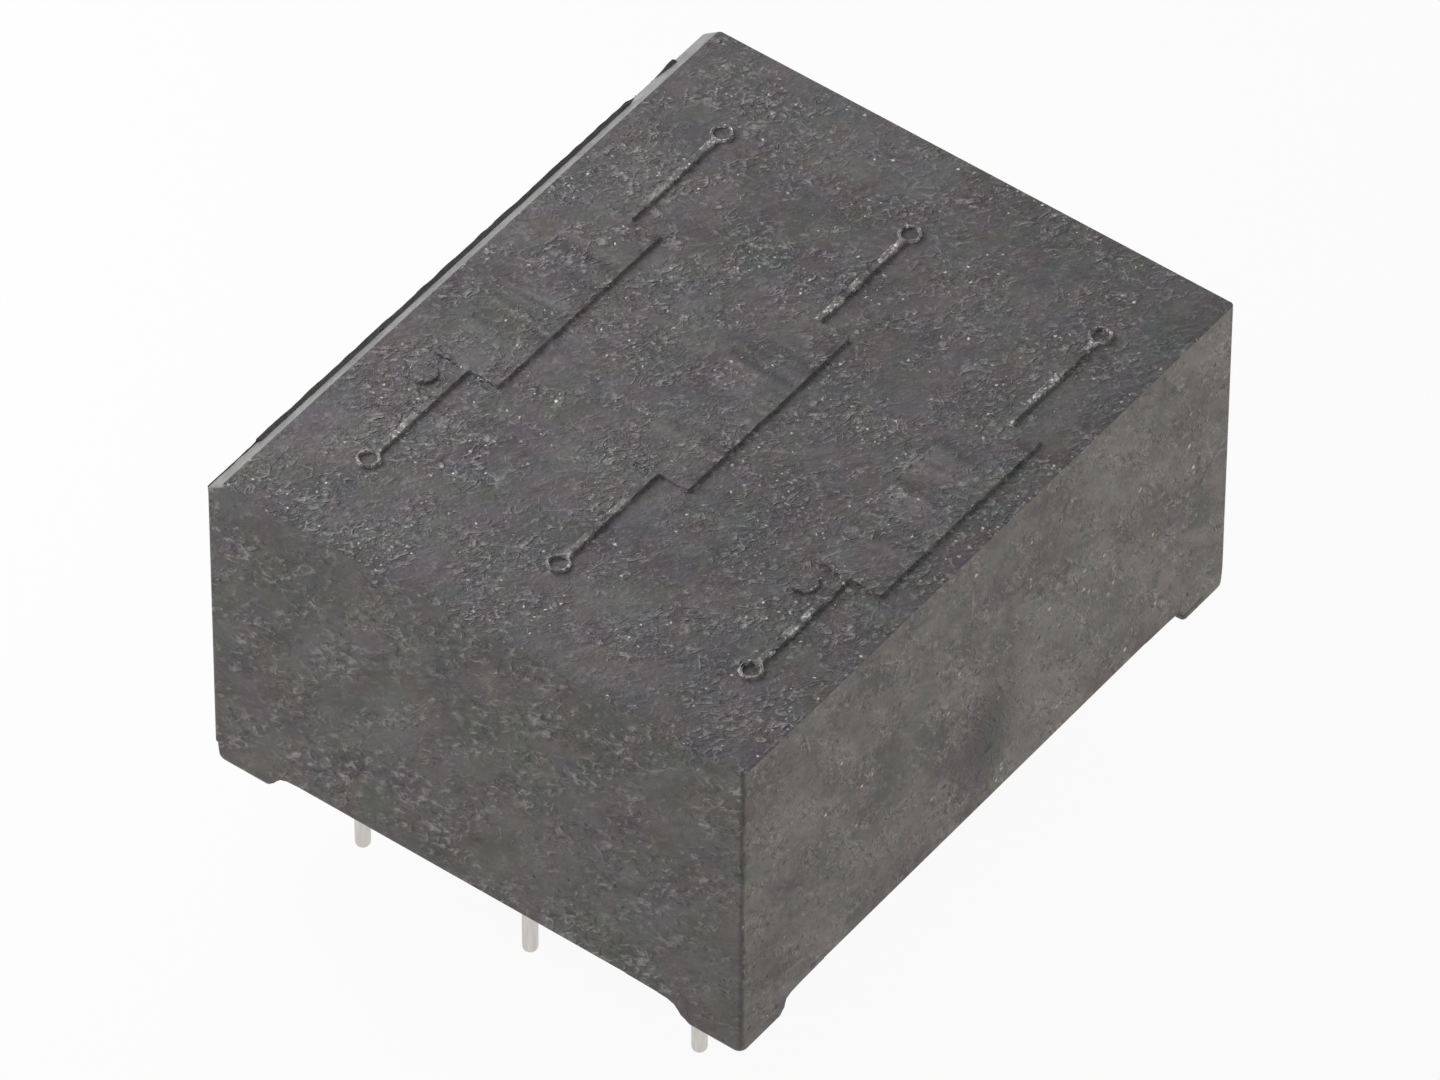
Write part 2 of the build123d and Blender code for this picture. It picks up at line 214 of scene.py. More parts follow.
def fleckDots(tree, place, finish, patches, patch, nearEdge):  # glass ends and pits, some larger and brighter; glass ends painted near white as glints, pits dark as shade
    wobble = addNode(tree, "TexNoise", {}, {
        "Vector": place, "Scale": perMetre(dotShape["wobbleSize"]), "Detail": 1.0,
    }, "Color")
    reach = [dotShape["wobble"] * mm] * 3
    wobbled = addNode(tree, "VectorMath", {"operation": "MULTIPLY_ADD"}, (wobble, reach, place))
    cells = addNode(tree, "TexVoronoi", {}, {
        "Vector": wobbled, "Scale": perMetre(finish["fleckSpacing"]), "Randomness": 1.0,
    }, None)
    chance = addNode(tree, "SeparateColor", {}, (cells.outputs["Color"],), None)
    spread, least = dotShape["spread"], dotShape["least"]
    breadth = addNode(tree, "Math", {"operation": "MULTIPLY_ADD"}, (chance.outputs["Green"], spread, least))
    distance = addNode(tree, "Math", {"operation": "DIVIDE"}, (cells.outputs["Distance"], breadth))
    size = finish["fleckRadius"] / finish["fleckSpacing"]
    dot = addNode(tree, "MapRange", {}, (distance, *[size * part for part in dotShape["rim"]]))
    shares = [finish["fleckShare"] * part for part in dotShape["shares"]]
    share = addNode(tree, "MapRange", {}, (patches, *noiseCuts["fleckedPatches"], *shares))
    onEdge = addNode(tree, "Math", {"operation": "MULTIPLY"}, (patch, finish["edgeFlecks"]))
    share = addNode(tree, "Math", {"operation": "MULTIPLY_ADD"}, (nearEdge, onEdge, share))
    fleckGlint = addNode(tree, "MapRange", {}, (chance.outputs["Red"], share, 0.0))
    fleckGlint = addNode(tree, "Math", {"operation": "MULTIPLY"}, (dot, fleckGlint))
    pitShade = addNode(tree, "MapRange", {}, (chance.outputs["Blue"], 1 - finish["pitShare"], 1.0))
    pitShade = addNode(tree, "Math", {"operation": "MULTIPLY"}, (dot, pitShade))
    return fleckGlint, pitShade


def paintedShadeBand(tree, apart, patches):  # painted shade: uneven inner edge, and wider towards the near end
    e = caseEdges
    wallY = (e["halfWidth"] - e["middleY"]) * mm
    nearWall = addNode(tree, "Math", {"operation": "ADD"}, (apart.outputs["Y"], wallY))
    weight = e["endWeight"]
    nearEnd = addNode(tree, "Math", {"operation": "MULTIPLY_ADD"}, (
        apart.outputs["X"], weight, weight * e["halfLength"] * mm,
    ))
    uneven = addNode(tree, "Math", {"operation": "MINIMUM"}, (nearWall, nearEnd))
    uneven = addNode(tree, "Math", {"operation": "MULTIPLY_ADD"}, (patches, -e["bandEdge"] * mm, uneven))
    limit, core = (e["bandReach"] - e["bandEdge"] / 2) * mm, e["bandCore"] * e["bandEdge"] * mm
    return addNode(tree, "MapRange", {}, (uneven, limit, core, 0.0, e["bandShade"]))


def makeMoulding(name, finish):
    sockets = {"Roughness": finish["roughness"], "IOR": 1.5}
    material, tree, shader, place = newMaterial(name + "Moulding", sockets)
    fields = noiseFields(tree, place, finish)
    patch = addNode(tree, "MapRange", {}, (
        fields["patches"], *noiseCuts["patches"], finish["patchFloor"], 1.0,
    ))

    # Strokes: thin bent ridges where a noise crosses its middle, short because they are broken so often
    crossing = addNode(tree, "Math", {"operation": "SUBTRACT"}, (fields["strokes"], 0.5))
    crossing = addNode(tree, "Math", {"operation": "ABSOLUTE"}, (crossing,))
    ridge = addNode(tree, "MapRange", {}, (crossing, finish["strokeWidth"], 0.0))
    broken = addNode(tree, "MapRange", {}, (fields["breaks"], *noiseCuts["breaks"]))
    stroke = addNode(tree, "Math", {"operation": "MULTIPLY"}, (ridge, broken))

    # Flakes and hollows of the grain, in patches: flakes painted light as a highlight, hollows dark as shade
    flakeHighlight = addNode(tree, "MapRange", {}, (fields["grain"], *noiseCuts["flakes"]))
    flakeHighlight = addNode(tree, "Math", {"operation": "MAXIMUM"}, (stroke, flakeHighlight))
    flakeHighlight = addNode(tree, "Math", {"operation": "MULTIPLY"}, (flakeHighlight, patch))
    hollowShade = addNode(tree, "MapRange", {}, (fields["grain"], *noiseCuts["hollows"]))
    hollowShade = addNode(tree, "Math", {"operation": "MULTIPLY"}, (hollowShade, patch))

    apart = addNode(tree, "SeparateXYZ", {}, (place,), None)
    edgeGap, uprightGap = edgeGaps(tree, apart)
    nearEdge = addNode(tree, "MapRange", {}, (edgeGap, *[part * mm for part in caseEdges["wornReach"]]))
    # Painted shade: a thin dark line down the upright corners, in the pit colour
    limits = [part * mm for part in caseEdges["uprightReach"]]
    uprightPaintedShade = addNode(tree, "MapRange", {}, (uprightGap, *limits, 0.0, finish["uprightShade"]))
    fleckGlint, pitShade = fleckDots(tree, place, finish, fields["patches"], patch, nearEdge)

    # Colour, one layer over the other
    toned = addNode(tree, "Math", {"operation": "MULTIPLY"}, (fields["mottle"], finish["mottleShare"]))
    toned = addNode(tree, "Math", {"operation": "MULTIPLY_ADD"}, (
        fields["relief"], 1 - finish["mottleShare"], toned,
    ))
    toned = addNode(tree, "MapRange", {}, (toned, *noiseCuts["tones"]))
    flakeCover = addNode(tree, "Math", {"operation": "MULTIPLY"}, (flakeHighlight, finish["flakeShare"]))
    hollowCover = addNode(tree, "Math", {"operation": "MULTIPLY"}, (hollowShade, finish["hollowShare"]))
    layers = [
        (toned, finish["light"]), (flakeCover, finish["flakeHighlight"]), (hollowCover, finish["hollowShade"]),
        (uprightPaintedShade, finish["pitShade"]), (pitShade, finish["pitShade"]), (fleckGlint, finish["fleckGlint"]),
    ]
    if name == "top":
        layers.insert(1, (paintedShadeBand(tree, apart, fields["patches"]), caseEdges["bandColour"]))
    for spot, spread, strength, colour in marksOfUse.get(name, ()):
        away = addNode(tree, "VectorMath", {"operation": "SUBTRACT"}, (place, [c * mm for c in spot]))
        away = addNode(tree, "VectorMath", {"operation": "DIVIDE"}, (away, [c * mm for c in spread]))
        away = addNode(tree, "VectorMath", {"operation": "LENGTH"}, (away,), "Value")
        cover = addNode(tree, "MapRange", {}, (away, *markRim, 0.0, strength))
        layers.append((cover, colour))
    base = linearColour(finish["dark"])
    for cover, colour in layers:
        base = addNode(tree, "Mix", {"data_type": "RGBA"}, {0: cover, 6: base, 7: linearColour(colour)}, 2)
    tint = addNode(tree, "TexNoise", {}, {
        "Vector": place, "Scale": perMetre(tintCloud), "Detail": 4.0, "Roughness": 0.6,
    }, "Color")
    base = addNode(tree, "Mix", {"data_type": "RGBA", "blend_type": "LINEAR_LIGHT"}, {
        0: finish["tint"], 6: base, 7: tint,
    }, 2)

    height = addNode(tree, "Math", {"operation": "SUBTRACT"}, (fields["grain"], 0.5))
    height = addNode(tree, "Math", {"operation": "MULTIPLY_ADD"}, (stroke, heightShares["stroke"], height))
    height = addNode(tree, "Math", {"operation": "MULTIPLY"}, (height, patch))
    for part, key in ((fields["relief"], "relief"), (fleckGlint, "fleckGlint"), (pitShade, "pitShade")):
        height = addNode(tree, "Math", {"operation": "MULTIPLY_ADD"}, (part, heightShares[key], height))
    bump = addNode(tree, "Bump", {}, {"Height": height, "Distance": finish["depth"] * mm, "Strength": 1.0})
    tree.links.new(base, shader.inputs["Base Color"])
    tree.links.new(bump, shader.inputs["Normal"])
    return material


mouldings = {key: makeMoulding(key, finish) for key, finish in mouldingFinishes.items()}


# Tin over copper-clad wire, drawn through the hot bath: bright, soft streaks along the pin
def makeTinned():
    tinning = {
        "dark": "#aeaba6", "light": "#dedbd6", "streakWidth": 0.08, "streakLength": 0.9, "depth": 0.006,
        "roughness": 0.34,
    }
    sockets = {"Metallic": 1.0, "Roughness": tinning["roughness"]}
    material, tree, shader, place = newMaterial("hotTinnedWire", sockets)
    width, length = perMetre(tinning["streakWidth"]), perMetre(tinning["streakLength"])
    stretched = addNode(tree, "Mapping", {}, {"Vector": place, "Scale": (width, width, length)})
    streaks = addNode(tree, "TexNoise", {}, {"Vector": stretched, "Scale": 1.0, "Detail": 3.0}, "Fac")
    dark, light = linearColour(tinning["dark"]), linearColour(tinning["light"])
    base = addNode(tree, "Mix", {"data_type": "RGBA"}, {0: streaks, 6: dark, 7: light}, 2)
    bump = addNode(tree, "Bump", {}, {"Height": streaks, "Distance": tinning["depth"] * mm})
    tree.links.new(base, shader.inputs["Base Color"])
    tree.links.new(bump, shader.inputs["Normal"])
    return material


# Filled epoxy, cast: black, glossy where it wetted the walls, faintly cloudy
def makeResin():
    casting = {
        "dark": "#1d1d1f", "light": "#2d2d30", "cloud": 1.6, "ripple": 0.9, "depth": 0.02, "roughness": 0.28,
    }
    material, tree, shader, place = newMaterial("castEpoxy", {"IOR": 1.55, "Roughness": casting["roughness"]})
    cloud = addNode(tree, "TexNoise", {}, {
        "Vector": place, "Scale": perMetre(casting["cloud"]), "Detail": 5.0,
    }, "Fac")
    ripple = addNode(tree, "TexNoise", {}, {
        "Vector": place, "Scale": perMetre(casting["ripple"]), "Detail": 2.0,
    }, "Fac")
    dark, light = linearColour(casting["dark"]), linearColour(casting["light"])
    base = addNode(tree, "Mix", {"data_type": "RGBA"}, {0: cloud, 6: dark, 7: light}, 2)
    bump = addNode(tree, "Bump", {}, {"Height": ripple, "Distance": casting["depth"] * mm, "Strength": 0.5})
    tree.links.new(base, shader.inputs["Base Color"])
    tree.links.new(bump, shader.inputs["Normal"])
    return material


# Finishes of what is buried in the resin, each with its grain in mm. To the eye: dull black plate, grey-black
# ferrite with a fine sparkle, off-white woven sleeve, copper under clear enamel, dull silver solder
buriedFinishes = {
    "carrierMoulding": {
        "dark": "#232323", "light": "#343332", "size": 0.25, "sockets": {"Roughness": 0.55, "IOR": 1.5},
    },
    "sinteredFerrite": {
        "dark": "#2c2c2e", "light": "#434346", "size": 0.08, "sockets": {"Roughness": 0.48, "IOR": 2.2},
    },
    "wovenSleeving": {
        "dark": "#b9b29c", "light": "#d9d3c0", "size": 0.12, "sockets": {"Roughness": 0.80, "IOR": 1.45},
    },
    "enamelledCopper": {
        "dark": "#8a3d1c", "light": "#b86436", "size": 0.60,
        "sockets": {"Metallic": 1.0, "Roughness": 0.25, "Coat Weight": 0.8, "Coat Roughness": 0.1},
    },
    "setSolder": {
        "dark": "#9d9c98", "light": "#c9c8c4", "size": 0.30, "sockets": {"Metallic": 1.0, "Roughness": 0.38},
    },
}
buriedDepth = 0.05  # of each grain's size


def makeBuried(name, finish):
    material, tree, shader, place = newMaterial(name, finish["sockets"])
    grain = addNode(tree, "TexNoise", {}, {
        "Vector": place, "Scale": perMetre(finish["size"]), "Detail": 3.0,
    }, "Fac")
    dark, light = linearColour(finish["dark"]), linearColour(finish["light"])
    base = addNode(tree, "Mix", {"data_type": "RGBA"}, {0: grain, 6: dark, 7: light}, 2)
    bump = addNode(tree, "Bump", {}, {"Height": grain, "Distance": finish["size"] * buriedDepth * mm})
    tree.links.new(base, shader.inputs["Base Color"])
    tree.links.new(bump, shader.inputs["Normal"])
    return material


tinned = makeTinned()
resin = makeResin()
buried = {name: makeBuried(name, finish) for name, finish in buriedFinishes.items()}
print("materials made")


# Mesh helpers

def addRings(bm, rings, capFirst=False, capLast=False):  # rings of as many points each, joined with quads
    loops = [[bm.verts.new(Vector(point) * mm) for point in ring] for ring in rings]
    count = len(loops[0])
    for lower, upper in zip(loops, loops[1:]):
        for i in range(count):
            j = (i + 1) % count
            bm.faces.new((lower[i], lower[j], upper[j], upper[i]))
    if capFirst:
        bm.faces.new(list(reversed(loops[0])))
    if capLast:
        bm.faces.new(loops[-1])
    return loops


def finishPiece(name, bm, materials, nodeNames, sharpAngle=38):
    bmesh.ops.recalc_face_normals(bm, faces=bm.faces)
    mesh = bpy.data.meshes.new(name)
    bm.to_mesh(mesh)
    bm.free()
    for material in materials:
        mesh.materials.append(material)
    mesh.shade_smooth()
    mesh.set_sharp_from_angle(angle=math.radians(sharpAngle))
    piece = bpy.data.objects.new(name, mesh)
    bpy.context.scene.collection.objects.link(piece)
    weighted = piece.modifiers.new("flatFacesKeepTheirShade", "WEIGHTED_NORMAL")
    weighted.keep_sharp = True
    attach(piece, "root")
    if nodeNames:
        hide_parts(*nodeNames)


# The case

caseShape = {
    "length": 19.3, "width": 15.7, "farExtra": 0.1, "rim": 0.62, "top": 9.62,
    "wall": 0.65, "roof": 1.0, "draft": 0.5, "mouthRadius": 0.6,
    "edgeRadius": 0.12, "leastRadius": 0.03, "topRound": 0.03, "rimRound": 0.03, "draftFrom": 1.2,
    "bevelWidth": 0.46, "bevelHeight": 0.34, "bevelBlend": 0.05,
    "cornerSteps": 6, "rimSteps": 4, "blendSteps": 3, "topSteps": 6,
}


def roundedOutline(left, right, low, high, radius, z):
    steps = caseShape["cornerSteps"]
    corners = (
        (right - radius, high - radius, 0), (left + radius, high - radius, 90),
        (left + radius, low + radius, 180), (right - radius, low + radius, 270),
    )
    points = []
    for x, y, quarter in corners:
        for k in range(steps + 1):
            turn = math.radians(quarter + 90 * k / steps)
            points.append((x + radius * math.cos(turn), y + radius * math.sin(turn), z))
    return points


def caseRing(z, inset, farInset):  # outline of the case, farInset on the far long wall
    c = caseShape
    return roundedOutline(
        -c["length"] / 2 + inset, c["length"] / 2 - inset,
        -c["width"] / 2 + inset, c["width"] / 2 + c["farExtra"] - farInset,
        max(c["edgeRadius"] - inset, c["leastRadius"]), z,
    )


def bevelInset(z):  # of the far long wall at this height, with a soft start
    c = caseShape
    slope = c["bevelWidth"] / c["bevelHeight"]
    rise = z - (c["top"] - c["bevelHeight"])
    blend = c["bevelBlend"]
    if rise <= -blend:
        return 0.0
    if rise < blend:
        return slope * (rise + blend) ** 2 / (4 * blend)
    return slope * rise


def addShell(bm):
    c = caseShape
    rings = []
    for k in range(c["rimSteps"] + 1):
        turn = math.radians(90 * k / c["rimSteps"])
        inset = c["rimRound"] * (1 - math.sin(turn))
        rings.append(caseRing(c["rim"] + c["rimRound"] * (1 - math.cos(turn)), inset, inset))
    bevelFoot = c["top"] - c["bevelHeight"]
    steps = c["blendSteps"]
    levels = [bevelFoot + c["bevelBlend"] * k / steps for k in range(-steps, steps + 1)]
    turns = [math.radians(90 * k / c["topSteps"]) for k in range(c["topSteps"] + 1)]
    levels += [c["top"] - c["topRound"] * (1 - math.sin(turn)) for turn in turns]
    for z in sorted(levels):
        up = max(0.0, z - (c["top"] - c["topRound"]))
        inset = c["topRound"] - math.sqrt(max(0.0, c["topRound"] ** 2 - up ** 2))
        rings.append(caseRing(z, inset, bevelInset(z)))
    outer = addRings(bm, rings, capLast=True)

    # Cavity, narrowing upwards with the draft
    inner = []
    for z in (c["rim"], c["draftFrom"], c["top"] - c["roof"]):
        inset = c["wall"] + math.tan(math.radians(c["draft"])) * z
        inner.append(roundedOutline(
            -c["length"] / 2 + inset, c["length"] / 2 - inset,
            -c["width"] / 2 + inset, c["width"] / 2 - inset, c["mouthRadius"], z,
        ))
    cavity = addRings(bm, inner, capLast=True)
    count = len(cavity[0])
    for i in range(count):  # the walls' lower edge
        j = (i + 1) % count
        bm.faces.new((outer[0][j], outer[0][i], cavity[0][i], cavity[0][j]))


# Feet: the wall's corners carried down to the board, with a ramp at each end

footShape = {
    "endX": 1.62, "endY": 1.62, "edge": 0.12, "edgeSteps": 3, "farInset": 0.03,
    "outerSteps": 8, "innerSteps": 5,
    "sharpFrom": 0.7, "soleBelow": 0.1,  # radians and mm: edges this sharp, this near the board, are rounded
    # Height, inset and radius of the outer corner, and how far the ramp has run out in X and Y
    "levels": (
        (0.0, 0.02, 0.26, 0.0, 0.0), (0.15, 0.0, 0.20, 0.03, 0.10), (0.35, 0.0, 0.16, 0.07, 0.24),
        (0.50, 0.0, 0.14, 0.13, 0.38), (0.57, 0.0, 0.14, 0.30, 0.58), (0.605, 0.0, 0.13, 0.75, 1.0),
        (0.625, 0.0, 0.13, 1.6, 1.8), (0.74, 0.01, 0.13, 1.6, 1.8),
    ),
}


def addFoot(bm, sideX, sideY):
    f, c = footShape, caseShape
    wall, radius = c["wall"], c["mouthRadius"]

    def outline(z, inset, corner, runX, runY):
        if sideY > 0:
            inset += f["farInset"]
        endX, endY = f["endX"] + runX, f["endY"] + runY
        points = []
        for k in range(f["outerSteps"] + 1):
            turn = math.radians(180 + 90 * k / f["outerSteps"])
            x, y = corner * math.cos(turn), corner * math.sin(turn)
            points.append((inset + corner + x, inset + corner + y))
        points += [(endX, inset), (endX, wall)]
        for k in range(f["innerSteps"] + 1):
            turn = math.radians(270 - 90 * k / f["innerSteps"])
            points.append((wall + radius + radius * math.cos(turn), wall + radius + radius * math.sin(turn)))
        points += [(wall, endY), (inset, endY)]
        extra = c["farExtra"] if sideY > 0 else 0
        return [(sideX * (c["length"] / 2 - x), sideY * (c["width"] / 2 - y) + extra, z) for x, y in points]

    foot = bmesh.new()
    addRings(foot, [outline(*level) for level in f["levels"]], capFirst=True, capLast=True)
    bmesh.ops.recalc_face_normals(foot, faces=foot.faces)
    rounded = [
        edge for edge in foot.edges
        if edge.calc_face_angle(0) > f["sharpFrom"] and min(v.co.z for v in edge.verts) < f["soleBelow"] * mm
    ]
    bmesh.ops.bevel(
        foot, geom=rounded, offset=f["edge"] * mm, segments=f["edgeSteps"], profile=0.5, affect="EDGES",
    )
    mergeInto(bm, foot)


def mergeInto(bm, other):  # copies a separate closed mesh into the piece
    held = bpy.data.meshes.new("held")
    other.to_mesh(held)
    other.free()
    bm.from_mesh(held)
    bpy.data.meshes.remove(held)


# Lip on the far long wall: torn flash over the lower part of the bevel, in two lengths and a low fringe; its
# near-black colour is painted shade

lipShape = {
    # Start, end, and how far the lip takes to swell at each end; the first is the fringe
    "spans": ((-9.6, -7.7, 0.05, 0.1), (-7.83, 6.9, 0.07, 0.5), (7.5, 8.45, 0.7, 0.12)),
    "fringe": 0.46, "fringeLength": 0.45, "fringeUneven": 1.6, "fringeBefore": -7.9, "endShare": 0.15,
    "drop": 0.205, "height": 0.15, "inner": 0.20, "sunk": 0.012, "leastSunk": 0.003,
    "step": 0.06, "tear": 0.025, "tearLength": 0.35, "small": 0.02, "large": 0.03,
    "tearSeeds": (0.0, 7.3, 15.1),  # of the inner edge, the outer edge and the top
}


def addLip(bm, start, end, startTaper, endTaper):
    c, lip = caseShape, lipShape
    wallY = c["width"] / 2 + c["farExtra"]
    slope = c["bevelHeight"] / c["bevelWidth"]
    count = round((end - start) / lip["step"])
    body = lip["fringe"] if start < lip["fringeBefore"] else 1.0
    small, large = lip["small"], lip["large"]  # chamfers
    rings = []
    for k in range(count + 1):
        x = start + (end - start) * k / count
        lumps = noise.noise(Vector((x / lip["fringeLength"], 2.0, 0.0)))
        uneven = 1 + (1 - body) * lip["fringeUneven"] * lumps
        swell = min(1.0, (x - start) / startTaper + lip["endShare"], (end - x) / endTaper + lip["endShare"])
        full = body * uneven * swell
        along = x / lip["tearLength"]
        tear = [noise.noise(Vector((along, seed, start))) * lip["tear"] for seed in lip["tearSeeds"]]
        inner = wallY - lip["inner"] * full + tear[0]
        outer = wallY - max(lip["leastSunk"], lip["sunk"] + tear[1])
        high = c["top"] - lip["drop"] - (1 - full) * lip["inner"] * slope + tear[2] / 2
        low = high - lip["height"]
        rings.append([
            (x, inner, low), (x, outer - small, low), (x, outer, low + small), (x, outer, high - large),
            (x, outer - large, high), (x, inner + small, high), (x, inner, high - large),
        ])
    bar = bmesh.new()
    addRings(bar, rings, capFirst=True, capLast=True)
    bmesh.ops.recalc_face_normals(bar, faces=bar.faces)
    for face in bar.faces:
        face.material_index = finishOrder.index("tornFlashShade")
    mergeInto(bm, bar)


# Raised winding diagram: ring, lead line, bar, lead line, ring in each of three rows

diagramShape = {
    "shiftX": -0.04, "shiftY": -0.36, "pitch": 5.62, "barLength": 6.35, "barWidth": 2.0,
    "ringReach": 6.85, "ringOuter": 0.305, "ringInner": 0.215, "lineWidth": 0.22,
    "dotRadius": 0.36, "dotX": -3.85, "dotRise": 0.73, "dottedRows": (-1, 1),
    "ringSteps": 26, "holeSteps": 24, "dotSteps": 32, "corner": 0.07, "cornerSteps": 3,
    "step": 0.10, "waver": 0.022, "waverLength": 0.16, "sag": 0.5, "sagLength": 0.14,
    "cornerFrom": 60.0, "cornerShare": 0.45,  # degrees, and the most of a side that a round takes
    "highlightPatch": 0.45, "highlightEndsFrom": 5.9,  # all is painted bright from here outwards
    "belowHighlight": 0.01, "belowFlat": 0.002,
}
# How far out from the outline, and how high, from the root to the flat: soft at the root and the shoulder
markProfile = (
    (0.040, -0.01), (0.024, 0.004), (0.012, 0.018), (0.002, 0.046),
    (-0.010, 0.074), (-0.022, 0.092), (-0.038, 0.10),
)
highlightFrom = 3  # on rings and lines the shoulder above this point of the profile is painted bright as a highlight


def offsetLoop(points, distance):  # moves a counter-clockwise loop outwards, corners mitred
    moved = []
    for i, point in enumerate(points):
        before, after = Vector(points[i - 1]), Vector(points[(i + 1) % len(points)])
        here = Vector(point)
        inward, onward = (here - before).normalized(), (after - here).normalized()
        normal = Vector((inward.y + onward.y, -inward.x - onward.x))
        if normal.length < 1e-6:
            normal = Vector((inward.y, -inward.x))
        normal.normalize()
        stretch = 1 / max(0.5, normal.dot(Vector((inward.y, -inward.x))))  # no mitre longer than twice
        moved.append(here + normal * distance * stretch)
    return moved


def circlePoints(x, y, radius, steps, start=0.0, sweep=360.0):
    count = steps if abs(sweep) == 360 else steps + 1
    return [
        (x + radius * math.cos(math.radians(start + sweep * k / steps)),
         y + radius * math.sin(math.radians(start + sweep * k / steps)))
        for k in range(count)
    ]


def softenCorners(points, radius):  # rounds a loop's square corners and leaves its arcs
    d = diagramShape
    out = []
    for i, point in enumerate(points):
        here, before, after = Vector(point), Vector(points[i - 1]), Vector(points[(i + 1) % len(points)])
        a, b = (before - here), (after - here)
        turn = 180 - math.degrees(a.angle(b))
        if turn < d["cornerFrom"]:
            out.append(tuple(here))
            continue
        cut = min(radius, a.length * d["cornerShare"], b.length * d["cornerShare"])
        start, end = here + a.normalized() * cut, here + b.normalized() * cut
        for k in range(d["cornerSteps"] + 1):
            t = k / d["cornerSteps"]
            out.append(tuple((1 - t) ** 2 * start + 2 * t * (1 - t) * here + t * t * end))
    return out


def waverLoop(points, x, y):  # more points along the straights, each a little off its line
    d = diagramShape
    out = []
    for i, point in enumerate(points):
        here, after = Vector(point), Vector(points[(i + 1) % len(points)])
        parts = max(1, round((after - here).length / d["step"]))
        for k in range(parts):
            spot = here.lerp(after, k / parts)
            seat = Vector((spot.x + x, spot.y + y, 0)) / d["waverLength"]
            offX, offY = noise.noise(seat), noise.noise(seat + Vector((9, 4, 2)))
            out.append((spot.x + d["waver"] * offX, spot.y + d["waver"] * offY))
    return out


def rowOutline():
    d = diagramShape
    a, b, w = d["barLength"] / 2, d["barWidth"] / 2, d["lineWidth"] / 2
    reach, radius = d["ringReach"], d["ringOuter"]
    mouth = math.degrees(math.asin(w / radius))
    loop = [(-a, -b), (a, -b), (a, -w)]
    loop += circlePoints(reach, 0, radius, d["ringSteps"], 180 + mouth, 360 - 2 * mouth)
    loop += [(a, w), (a, b), (-a, b), (-a, w)]
    loop += circlePoints(-reach, 0, radius, d["ringSteps"], mouth, 360 - 2 * mouth)
    loop += [(-a, -w)]
    return softenCorners(loop, d["corner"])


def addMark(bm, loop, holes, x, y):
    d, top = diagramShape, caseShape["top"]
    mark = bmesh.new()
    crest = []
    for points, outward in [(loop, 1)] + [(hole, -1) for hole in holes]:
        points = waverLoop(points, x, y)
        rings = []
        for step, (out, high) in enumerate(markProfile):
            ring = []
            for p in offsetLoop(points, outward * out):
                rise = high
                if 0 < step < len(markProfile) - 1:  # the shoulder sags in places, the flat doesn't
                    rise *= 1 + d["sag"] * noise.noise(Vector((p[0] + x, p[1] + y, 3.0)) / d["sagLength"])
                ring.append((p[0] + x, p[1] + y, top + rise))
            rings.append(ring)
        crest.append(addRings(mark, rings)[-1])
    edges = [mark.edges.get((ring[i], ring[(i + 1) % len(ring)])) for ring in crest for i in range(len(ring))]
    bmesh.ops.triangle_fill(mark, edges=edges, use_beauty=True)
    highlightHeight = (top + markProfile[highlightFrom][1] - d["belowHighlight"]) * mm
    flatHeight = (top + markProfile[-1][1] - d["belowFlat"]) * mm
    for face in mark.faces:
        middle = face.calc_center_median()
        along = abs(middle.x / mm - d["shiftX"])
        highlighted = noise.noise(middle / mm / d["highlightPatch"]) > -max(0.0, along - d["highlightEndsFrom"])
        onLine = holes and along > d["barLength"] / 2
        onDotEdge = not holes and middle.z < flatHeight
        if middle.z > highlightHeight and highlighted and (onLine or onDotEdge):
            face.material_index = finishOrder.index("crestHighlight")
    mergeInto(bm, mark)


def addDiagram(bm):
    d = diagramShape
    outline = rowOutline()
    holes = [circlePoints(side * d["ringReach"], 0, d["ringInner"], d["holeSteps"]) for side in (-1, 1)]
    dot = circlePoints(d["dotX"], d["dotRise"], d["dotRadius"], d["dotSteps"])
    for row in (-1, 0, 1):
        x, y = d["shiftX"], d["shiftY"] + row * d["pitch"]
        addMark(bm, outline, holes, x, y)
        if row in d["dottedRows"]:
            addMark(bm, dot, [], x, y)


finishOrder = list(mouldingFinishes)
# Which faces of the shell and the feet take the bevel's finish, painted light, and the top's finish; reach in
# mm
faceCuts = {"slope": (0.3, 0.97), "pastBevel": 0.05, "belowTop": 0.02}


def buildCase():
    bm = bmesh.new()
    addShell(bm)
    for sideX in (-1, 1):
        for sideY in (-1, 1):
            addFoot(bm, sideX, sideY)
    bmesh.ops.recalc_face_normals(bm, faces=bm.faces)
    bm.normal_update()
    c = caseShape
    bevelStart = c["width"] / 2 + c["farExtra"] - c["bevelWidth"] - faceCuts["pastBevel"]
    least, most = faceCuts["slope"]
    for face in bm.faces:
        normal, middle = face.normal, face.calc_center_median()
        if least < normal.z < most and normal.y > least and middle.y > bevelStart * mm:
            key = "trimmedBevelHighlight"
        elif middle.z > (c["top"] - faceCuts["belowTop"]) * mm:
            key = "top"
        elif abs(normal.x) > abs(normal.y):
            key = "shortSide"
        else:
            key = "longSide"
        face.material_index = finishOrder.index(key)
    for span in lipShape["spans"]:
        addLip(bm, *span)
    addDiagram(bm)
    finishPiece("mouldedCase", bm, [mouldings[key] for key in finishOrder], ["case"])


buildCase()
print("case built")


# Pins: round wire with a rounded end below the resin, coined square inside it

pinShape = {
    "rowSpacing": 15.24, "pitch": 5.08, "radius": 0.2, "lengths": (2.9, 3.25, 3.4),
    "resinFace": 0.91, "squareHalf": 0.16, "top": 3.95, "segments": 40,
    "endRound": 0.17, "endFlat": 0.05, "endSteps": 5,
    "bands": (0.6, -0.4),  # heights of two more rings, from the tip and from the board
}


